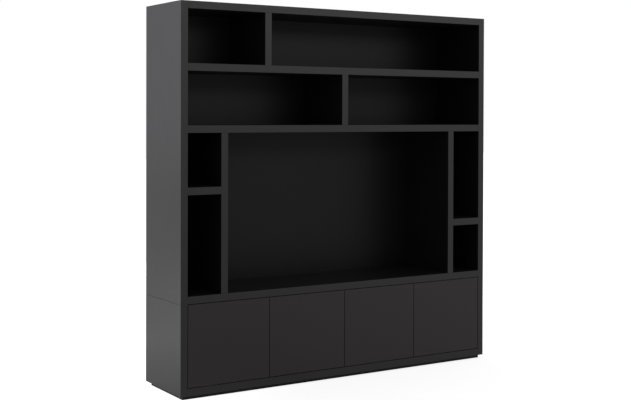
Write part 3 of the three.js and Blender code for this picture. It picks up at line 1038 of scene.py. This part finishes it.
@dataclass
class HingeCup:
    """A round cup let into the door, with screw ears and the pin across it."""

    node: str
    body: str
    pin_x: float
    finishes: Finishes
    screws: ScrewHead
    radius: float = 17.5 * MM
    wall: float = 0.8 * MM
    floor_share: float = 0.93
    ear_width: float = 14 * MM
    ear_length: float = 58 * MM
    ear_thickness: float = 1.2 * MM
    ear_corner: float = 5 * MM
    screw_distance: float = 24 * MM
    pin_radius: float = 1 * MM
    pin_depth: float = 10 * MM
    edge_radius: float = 0.3 * MM
    sides: int = 48
    pin_sides: int = 16

    def build(self) -> None:
        """Make the cup, its ears, its pin and its two screws."""
        low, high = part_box(self.node)
        x, z = (low.x + high.x) / 2, (low.z + high.z) / 2
        back = high.y - self.ear_thickness
        ears = Bench.block("ears", (x - self.ear_width / 2, back, z - self.ear_length / 2),
                           (x + self.ear_width / 2, high.y, z + self.ear_length / 2))
        Bench.pick_edges(ears, lambda a, b: abs(a.y - b.y) > self.ear_thickness / 2)
        Bench.round_picked(self.ear_corner, segments=5)
        depth = high.y - low.y
        Bench.cut(ears, [Bench.bar("mouth", (x, low.y, z), Axis.Y, self.radius - self.wall / 2,
                                   depth + OVERRUN, self.sides)])
        dish = Bench.bar("dish", (x, low.y, z), Axis.Y, self.radius, depth, self.sides)
        Bench.pick_faces(dish, lambda face: face.normal.y > FACING)
        bpy.ops.mesh.inset(thickness=self.wall)
        bpy.ops.mesh.extrude_region_move(TRANSFORM_OT_translate={"value": (0, -(depth - self.wall), 0)})
        bpy.ops.transform.resize(value=(self.floor_share, 1, self.floor_share),
                                 center_override=(x, low.y, z))
        bpy.ops.object.mode_set(mode="OBJECT")
        inner = self.radius - self.wall
        half = math.sqrt(inner ** 2 - (x - self.pin_x) ** 2) + self.wall / 2
        pin = Bench.bar("pin", (self.pin_x, back - self.pin_depth, z - half), Axis.Z, self.pin_radius,
                        2 * half, self.pin_sides)
        for part in (ears, dish):
            Bench.soften(part, self.edge_radius)
        cup = Bench.join(f"{self.node}_dressed", [dish, ears, pin])
        Bench.dress(cup, self.finishes.nickel, self.body, Slot.NICKEL, [self.node])
        for place, way in (("bottom", -1), ("top", 1)):
            self.screws.set_in(f"{self.node}_screw_{place}", (x, high.y, z + way * self.screw_distance),
                               (0, 1, 0), self.body)


@dataclass
class HingeArm:
    """The arm on the cabinet's wall, with its plate, its hook round the pin and its set screws."""

    node: str
    finishes: Finishes
    screws: ScrewHead
    edge_radius: float = 0.45 * MM
    plate_screw_distance: float = 16 * MM
    plate_thickness: float = 2 * MM
    sheet: float = 3 * MM
    plate_from_tail: float = 25 * MM
    set_screws_from_tail: tuple[float, float] = (38 * MM, 10 * MM)
    merge_distance: float = 0.01 * MM
    flat_angle: float = math.radians(1)

    def build(self) -> None:
        """Make the arm with softened edges and set its four screws."""
        source = frame["nodes"][self.node]
        arm = Bench.copy(source, f"{self.node}_dressed", Matrix.Identity(4))
        arm.hide_render = False
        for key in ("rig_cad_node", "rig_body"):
            if key in arm:
                del arm[key]
        arm.parent = None
        Bench.take(arm)
        bpy.ops.object.mode_set(mode="EDIT")
        bpy.ops.mesh.select_all(action="SELECT")
        bpy.ops.mesh.remove_doubles(threshold=self.merge_distance)
        bpy.ops.mesh.dissolve_limited(angle_limit=self.flat_angle)
        bpy.ops.object.mode_set(mode="OBJECT")
        Bench.soften(arm, self.edge_radius)
        Bench.dress(arm, self.finishes.nickel, "cabinet", Slot.NICKEL, [self.node])
        low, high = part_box(self.node)
        corners = [vertex.co for vertex in source.data.vertices]
        tail_x = [co.x for co in corners if co.y > high.y - NEAR]
        wall_low = abs(min(tail_x) - low.x) < NEAR
        out = 1 if wall_low else -1
        wall = low.x if wall_low else high.x
        middle = (low.z + high.z) / 2
        plate_y = high.y - self.plate_from_tail
        for place, way in (("bottom", -1), ("top", 1)):
            at = (wall + out * self.plate_thickness, plate_y, middle + way * self.plate_screw_distance)
            self.screws.set_in(f"{self.node}_plate_screw_{place}", at, (out, 0, 0), "cabinet")
        for place, back in zip(("front", "rear"), self.set_screws_from_tail):
            at = (wall + out * self.sheet, high.y - back, middle)
            self.screws.set_in(f"{self.node}_set_screw_{place}", at, (out, 0, 0), "cabinet")


@dataclass
class PushLatch:
    """A push latch under the top panel: its housing and its sprung plunger."""

    number: int
    finishes: Finishes
    screws: ScrewHead
    bore_radius: float = 4.3 * MM
    bore_depth: float = 38 * MM
    edge_radius: float = 1 * MM
    groove_width: float = 2 * MM
    groove_depth: float = 0.8 * MM
    groove_from_edge: float = 2.5 * MM
    grooves: int = 5
    screw_from_end: float = 12 * MM
    tip_radius: float = 2 * MM
    tip_rim: float = 0.6 * MM
    tip_dish: float = 0.5 * MM

    def build(self) -> None:
        """Make the housing, its two screws and the plunger."""
        node = f"door_{self.number}_latch_housing"
        low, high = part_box(node)
        x, z = (low.x + high.x) / 2, (low.z + high.z) / 2
        housing = Bench.block(f"{node}_dressed", low, high)
        Bench.soften(housing, self.edge_radius, segments=3)
        pitch = self.groove_width * 2
        start = (low.y + high.y) / 2 - pitch * (self.grooves - 1) / 2
        cutters = [Bench.bar("bore", (x, low.y - OVERRUN, z), Axis.Y, self.bore_radius,
                             self.bore_depth + OVERRUN)]
        foot, head = low.z + self.groove_from_edge, high.z - self.groove_from_edge
        for index in range(self.grooves):
            y = start + index * pitch
            for side, edge in ((-1, low.x), (1, high.x)):
                near, far = sorted((edge - side * self.groove_depth, edge + side * OVERRUN))
                cutters.append(Bench.block("groove", (near, y - self.groove_width / 2, foot),
                                           (far, y + self.groove_width / 2, head)))
        Bench.cut(housing, cutters)
        Bench.shade(housing)
        Bench.dress(housing, self.finishes.grey_plastic, "cabinet", Slot.GREY_PLASTIC, [node])
        for place, y in (("front", low.y + self.screw_from_end), ("rear", high.y - self.screw_from_end)):
            self.screws.set_in(f"{node}_screw_{place}", (x, y, low.z), (0, 0, -1), "cabinet")
        self.build_plunger()

    def build_plunger(self) -> None:
        """Make the plunger with its rounded and dished tip."""
        node = f"door_{self.number}_latch_plunger"
        low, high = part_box(node)
        x, z = (low.x + high.x) / 2, (low.z + high.z) / 2
        radius = (high.x - low.x) / 2
        plunger = Bench.bar(f"{node}_dressed", (x, low.y, z), Axis.Y, radius, high.y - low.y)
        Bench.pick_edges(plunger, lambda a, b: max(a.y, b.y) < low.y + NEAR)
        Bench.round_picked(self.tip_radius, segments=4)
        Bench.pick_faces(plunger, lambda face: face.calc_center_median().y < low.y + ON_FACE
                         and face.normal.y < -FACING)
        bpy.ops.mesh.inset(thickness=self.tip_rim)
        bpy.ops.transform.translate(value=(0, self.tip_dish, 0))
        bpy.ops.object.mode_set(mode="OBJECT")
        Bench.shade(plunger)
        Bench.dress(plunger, self.finishes.black_plastic, f"plunger_{self.number}",
                    Slot.BLACK_PLASTIC, [node])


@dataclass
class Door:
    """A flush door: its leaf, its two hinges and its push latch."""

    number: int
    finishes: Finishes
    screws: ScrewHead
    edge_radius: float = 1.2 * MM
    back_edge_radius: float = 0.4 * MM
    cup_radius: float = 17.8 * MM
    cup_depth: float = 13.8 * MM
    cup_sides: int = 48

    def build(self) -> None:
        """Make the leaf with its cup bores, then the hinges and the latch."""
        node = f"door_{self.number}"
        low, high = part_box(node)
        leaf = Bench.block(f"{node}_leaf", low, high)
        Bench.pick_edges(leaf, lambda a, b: max(a.y, b.y) < low.y + NEAR)
        Bench.round_picked(self.edge_radius, segments=4)
        Bench.pick_edges(leaf, lambda a, b: min(a.y, b.y) > high.y - NEAR)
        Bench.round_picked(self.back_edge_radius, segments=2)
        cups = {place: f"{node}_hinge_cup_{place}" for place in ("lower", "upper")}
        bores = []
        for cup in cups.values():
            middle = middle_of(cup)
            bores.append(Bench.bar("cup_bore", (middle.x, high.y - self.cup_depth, middle.z), Axis.Y,
                                   self.cup_radius, self.cup_depth + OVERRUN, self.cup_sides))
        Bench.cut(leaf, bores)
        Bench.shade(leaf)
        Bench.dress(leaf, self.finishes.door, node, Slot.DOOR, [node])
        joint = next(j for j in frame["joints"] if j["name"] == f"{node}_hinge")
        for place, cup in cups.items():
            HingeCup(cup, node, joint["pos_m"][0], self.finishes, self.screws).build()
            HingeArm(f"{node}_hinge_arm_{place}", self.finishes, self.screws).build()
        PushLatch(self.number, self.finishes, self.screws).build()


# ---------------------------------------------------------------- small parts of the upper unit


@dataclass
class CableSleeve:
    """A plastic sleeve in a cable outlet: a rounded rim on the board and a tube in the hole."""

    node: str
    axis: Axis
    rim_on_low_side: bool
    finishes: Finishes
    rim_radius: float = 35 * MM
    rim_thickness: float = 2 * MM
    tube_radius: float = 29.7 * MM
    bore_radius: float = 26.7 * MM
    rounding_share: float = 0.8
    lap_share: float = 0.5
    edge_radius: float = 0.4 * MM
    sides: int = 64

    def build(self) -> None:
        """Make the sleeve."""
        low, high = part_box(self.node)
        start = list(middle_of(self.node))
        index = self.axis.value
        face, way = (low[index], 1) if self.rim_on_low_side else (high[index], -1)
        start[index] = face
        length = abs(high[index] - low[index])
        rim = Bench.bar("rim", start, self.axis, self.rim_radius, way * self.rim_thickness, self.sides)
        Bench.pick_edges(rim, lambda a, b: max(abs(a[index] - face), abs(b[index] - face)) < ON_FACE)
        Bench.round_picked(self.rim_thickness * self.rounding_share, segments=4)
        tube_start = list(start)
        lap = self.rim_thickness * self.lap_share
        tube_start[index] += way * lap
        tube = Bench.bar("tube", tube_start, self.axis, self.tube_radius, way * (length - lap), self.sides)
        Bench.modify(rim, "BOOLEAN", operation="UNION", solver="EXACT", object=tube)
        bpy.data.objects.remove(tube)
        bore_start = list(start)
        bore_start[index] -= way * OVERRUN
        Bench.cut(rim, [Bench.bar("bore", bore_start, self.axis, self.bore_radius,
                                  way * (length + 2 * OVERRUN), self.sides)])
        sleeve = Bench.soften(rim, self.edge_radius)
        sleeve.name = f"{self.node}_dressed"
        Bench.dress(sleeve, self.finishes.black_plastic, "cabinet", Slot.BLACK_PLASTIC, [self.node])


@dataclass
class WallBracket:
    """A bent steel bracket on the top board, screwed down and with a hole for a wall screw."""

    node: str
    finishes: Finishes
    screws: ScrewHead
    sheet: float = 2 * MM
    bend_radius: float = 1.6 * MM
    corner_radius: float = 5 * MM
    hole_radius: float = 2.5 * MM
    edge_radius: float = 0.25 * MM
    hole_sides: int = 24

    def build(self) -> None:
        """Bend the bracket, round its corners, drill it and set its screw."""
        low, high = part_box(self.node)
        bracket = Bench.block(f"{self.node}_dressed", low, (high.x, high.y, low.z + self.sheet))
        Bench.take(bracket)
        bpy.ops.object.mode_set(mode="EDIT")
        bpy.ops.mesh.select_all(action="SELECT")
        inner_y, inner_z = high.y - self.sheet, low.z + self.sheet
        bpy.ops.mesh.bisect(plane_co=(0, inner_y, 0), plane_no=(0, 1, 0))
        bpy.ops.object.mode_set(mode="OBJECT")
        Bench.pick_faces(bracket, lambda face: face.normal.z > FACING
                         and face.calc_center_median().y > inner_y)
        rise = high.z - low.z - self.sheet
        bpy.ops.mesh.extrude_region_move(TRANSFORM_OT_translate={"value": (0, 0, rise)})
        bpy.ops.object.mode_set(mode="OBJECT")
        Bench.pick_edges(bracket, lambda a, b: abs(a.x - b.x) > NEAR and all(
            abs(end.y - inner_y) < ON_FACE and abs(end.z - inner_z) < ON_FACE for end in (a, b)))
        Bench.round_picked(self.bend_radius, segments=5)
        Bench.pick_edges(bracket, lambda a, b: (abs(a.z - b.z) > NEAR and max(a.y, b.y) < low.y + NEAR)
                         or (abs(a.y - b.y) > NEAR and min(a.z, b.z) > high.z - NEAR))
        Bench.round_picked(self.corner_radius, segments=6)
        x = (low.x + high.x) / 2
        foot_y = low.y + (high.y - low.y) / 2
        top_z = low.z + (high.z - low.z) / 2
        Bench.cut(bracket, [Bench.bar("wall_hole", (x, high.y - 2 * self.sheet, top_z), Axis.Y,
                                      self.hole_radius, 4 * self.sheet, self.hole_sides)])
        Bench.soften(bracket, self.edge_radius)
        Bench.dress(bracket, self.finishes.zinc, "cabinet", Slot.BRACKET, [self.node])
        self.screws.set_in(f"{self.node}_screw", (x, foot_y, low.z + self.sheet), (0, 0, 1), "cabinet")


# ---------------------------------------------------------------- studio


@dataclass(frozen=True)
class SoftLamp:
    """A soft rectangular lamp that looks at a point."""

    name: str
    place: Point
    target: Point
    size: tuple[float, float]
    power: float
    color: Point = (1.0, 1.0, 1.0)

    def build(self) -> None:
        """Make the lamp."""
        data = bpy.data.lights.new(self.name, "AREA")
        data.shape = "RECTANGLE"
        data.size, data.size_y = self.size
        data.energy = self.power
        data.color = self.color
        lamp = bpy.data.objects.new(self.name, data)
        way = Vector(self.target) - Vector(self.place)
        turn = way.to_track_quat("-Z", "Y").to_matrix().to_4x4()
        lamp.matrix_world = Matrix.Translation(Vector(self.place)) @ turn
        lamp.visible_camera = False
        bpy.context.scene.collection.objects.link(lamp)


@dataclass
class Studio:
    """The camera, the lamps, the pale floor and the white surroundings."""

    camera_place: Point = (-3.569, -5.541, 1.4825)
    turn_degrees: float = 32.35
    tilt_degrees: float = -0.696
    roll_degrees: float = 0.164
    lens: float = 64.67
    sensor_width: float = 36.0
    shift_y: float = -0.1114
    view_distance: float = 200.0
    floor_half_width: float = 30.0
    floor_tone: float = 0.5
    floor_middle: Point = (1.3, -2.0, 0.0)
    floor_fade: tuple[float, float] = (2.2, 3.4)
    floor_seen: tuple[float, float] = (0.78, 1.0)
    floor_mirrored: tuple[float, float] = (0.34, 0.58)
    ambient: float = 0.5
    lamps: tuple[SoftLamp, ...] = (
        SoftLamp("key_front", (3.0, -5.9, 3.3), (0.0, 0.0, 1.8), (6.6, 1.1), 53.0),
        SoftLamp("side_right", (4.8, -1.5, 1.7), (1.0, 0.0, 1.3), (2.0, 2.4), 7.0),
        SoftLamp("side_left", (-3.8, 3.4, 2.5), (-1.0, 0.0, 1.6), (2.6, 3.0), 31.0, (0.93, 0.92, 1.0)),
        SoftLamp("side_low", (-2.7, 1.2, 0.2), (-1.0, 0.1, 0.0), (1.4, 0.3), 3.3),
        SoftLamp("side_foot", (-1.6, 0.7, 0.1), (-1.0, 0.0, 0.05), (0.8, 0.12), 0.15),
        SoftLamp("back_soft", (0.4, 5.2, 1.0), (0.0, 0.2, 1.0), (1.8, 1.5), 60.0),
    )

    def build_camera(self) -> None:
        """Place the camera at the photo's viewing angle."""
        data = bpy.data.cameras.new("camera")
        data.lens = self.lens
        data.sensor_width = self.sensor_width
        data.sensor_fit = "HORIZONTAL"
        data.shift_y = self.shift_y
        data.clip_end = self.view_distance
        camera = bpy.data.objects.new("camera", data)
        degrees = (self.turn_degrees, self.tilt_degrees, self.roll_degrees)
        turn, tilt, roll = (math.radians(value) for value in degrees)
        forward = Vector((math.sin(turn) * math.cos(tilt), math.cos(turn) * math.cos(tilt), math.sin(tilt)))
        level_right = Vector((math.cos(turn), -math.sin(turn), 0))
        level_up = level_right.cross(forward)
        right = level_right * math.cos(roll) + level_up * math.sin(roll)
        up = right.cross(forward)
        axes = Matrix((right, up, -forward)).transposed().to_4x4()
        camera.matrix_world = Matrix.Translation(Vector(self.camera_place)) @ axes
        bpy.context.scene.collection.objects.link(camera)
        bpy.context.scene.camera = camera

    @staticmethod
    def ray_strength(sheet: NodeSheet, ray: str, more: Feed, rest: Feed) -> bpy.types.NodeSocket:
        """Give the rays of one kind more strength than the rest, which every ray gets."""
        picked = sheet.node("LightPath").outputs[ray]
        return sheet.node("Math", {0: picked, 1: more, 2: rest}, operation="MULTIPLY_ADD").outputs["Value"]

    def fade(self, sheet: NodeSheet, ends: tuple[float, float]) -> bpy.types.NodeSocket:
        """Blend one floor value near the cabinet into another far from it.

        Args:
            sheet: The floor's node tree.
            ends: The near value and the far value.

        Returns:
            The value.
        """
        place = sheet.node("TexCoord").outputs["Object"]
        distance = sheet.node("VectorMath", {0: place, 1: self.floor_middle}, operation="DISTANCE")
        ranges = dict(zip(("From Min", "From Max", "To Min", "To Max"), (*self.floor_fade, *ends)))
        return sheet.node("MapRange", {"Value": distance.outputs["Value"], **ranges},
                          interpolation_type="SMOOTHSTEP").outputs["Result"]

    def build_surroundings(self) -> None:
        """Make the world white where it is seen directly, and a soft weak light elsewhere."""
        world = bpy.data.worlds.new("surroundings")
        bpy.context.scene.world = world
        world.use_nodes = True
        world.node_tree.nodes.clear()
        sheet = NodeSheet(world.node_tree)
        strength = self.ray_strength(sheet, "Is Camera Ray", 1 - self.ambient, self.ambient)
        background = sheet.node("Background", {"Color": (1, 1, 1, 1), "Strength": strength})
        sheet.node("OutputWorld", {"Surface": background.outputs["Background"]})

    def build_floor(self) -> None:
        """Make the pale floor, which keeps the cabinet's shadow and blends into the white surroundings."""
        Bench.lay_down()
        bpy.ops.mesh.primitive_plane_add(size=2 * self.floor_half_width, location=(0, 0, 0))
        floor = bpy.context.object
        floor.name = "floor"
        material = bpy.data.materials.new("pale_floor")
        material.use_nodes = True
        material.node_tree.nodes.clear()
        sheet = NodeSheet(material.node_tree)
        matte = sheet.node("BsdfDiffuse", {"Color": (*3 * (self.floor_tone,), 1)})
        seen = self.ray_strength(sheet, "Is Camera Ray", self.fade(sheet, self.floor_seen), 0.0)
        strength = self.ray_strength(sheet, "Is Glossy Ray", self.fade(sheet, self.floor_mirrored), seen)
        glow = sheet.node("Emission", {"Color": (1, 1, 1, 1), "Strength": strength})
        both = sheet.node("AddShader", {0: matte.outputs["BSDF"], 1: glow.outputs["Emission"]})
        sheet.node("OutputMaterial", {"Surface": both.outputs["Shader"]})
        floor.data.materials.append(material)

    def build(self) -> None:
        """Make the whole studio."""
        bpy.context.scene.view_settings.view_transform = "Standard"
        self.build_camera()
        self.build_surroundings()
        self.build_floor()
        for lamp in self.lamps:
            lamp.build()


def main() -> None:
    """Build the studio and dress the cabinet, one sub-assembly after another."""
    logging.basicConfig(level=logging.INFO, format="%(name)s: %(message)s")
    Studio().build()
    finishes = Finishes()
    panel_screws = ScrewHead(finishes.dark_screw, Slot.BRACKET)
    fitting_screws = ScrewHead(finishes.nickel, Slot.NICKEL, radius=3.0 * MM, height=1.1 * MM)
    Plinth(finishes).build()
    BaseUnit(finishes).build()
    UpperUnit(finishes).build()
    BackScrews(panel_screws).build()
    for number in (1, 2, 3, 4):
        Door(number, finishes, fitting_screws).build()
    CableSleeve("deck_cable_sleeve", Axis.Z, False, finishes).build()
    CableSleeve("back_cable_sleeve", Axis.Y, True, finishes).build()
    for side in ("left", "right"):
        WallBracket(f"wall_bracket_{side}", finishes, panel_screws).build()
    panel_screws.put_away()
    fitting_screws.put_away()


if __name__ == "__main__":
    main()
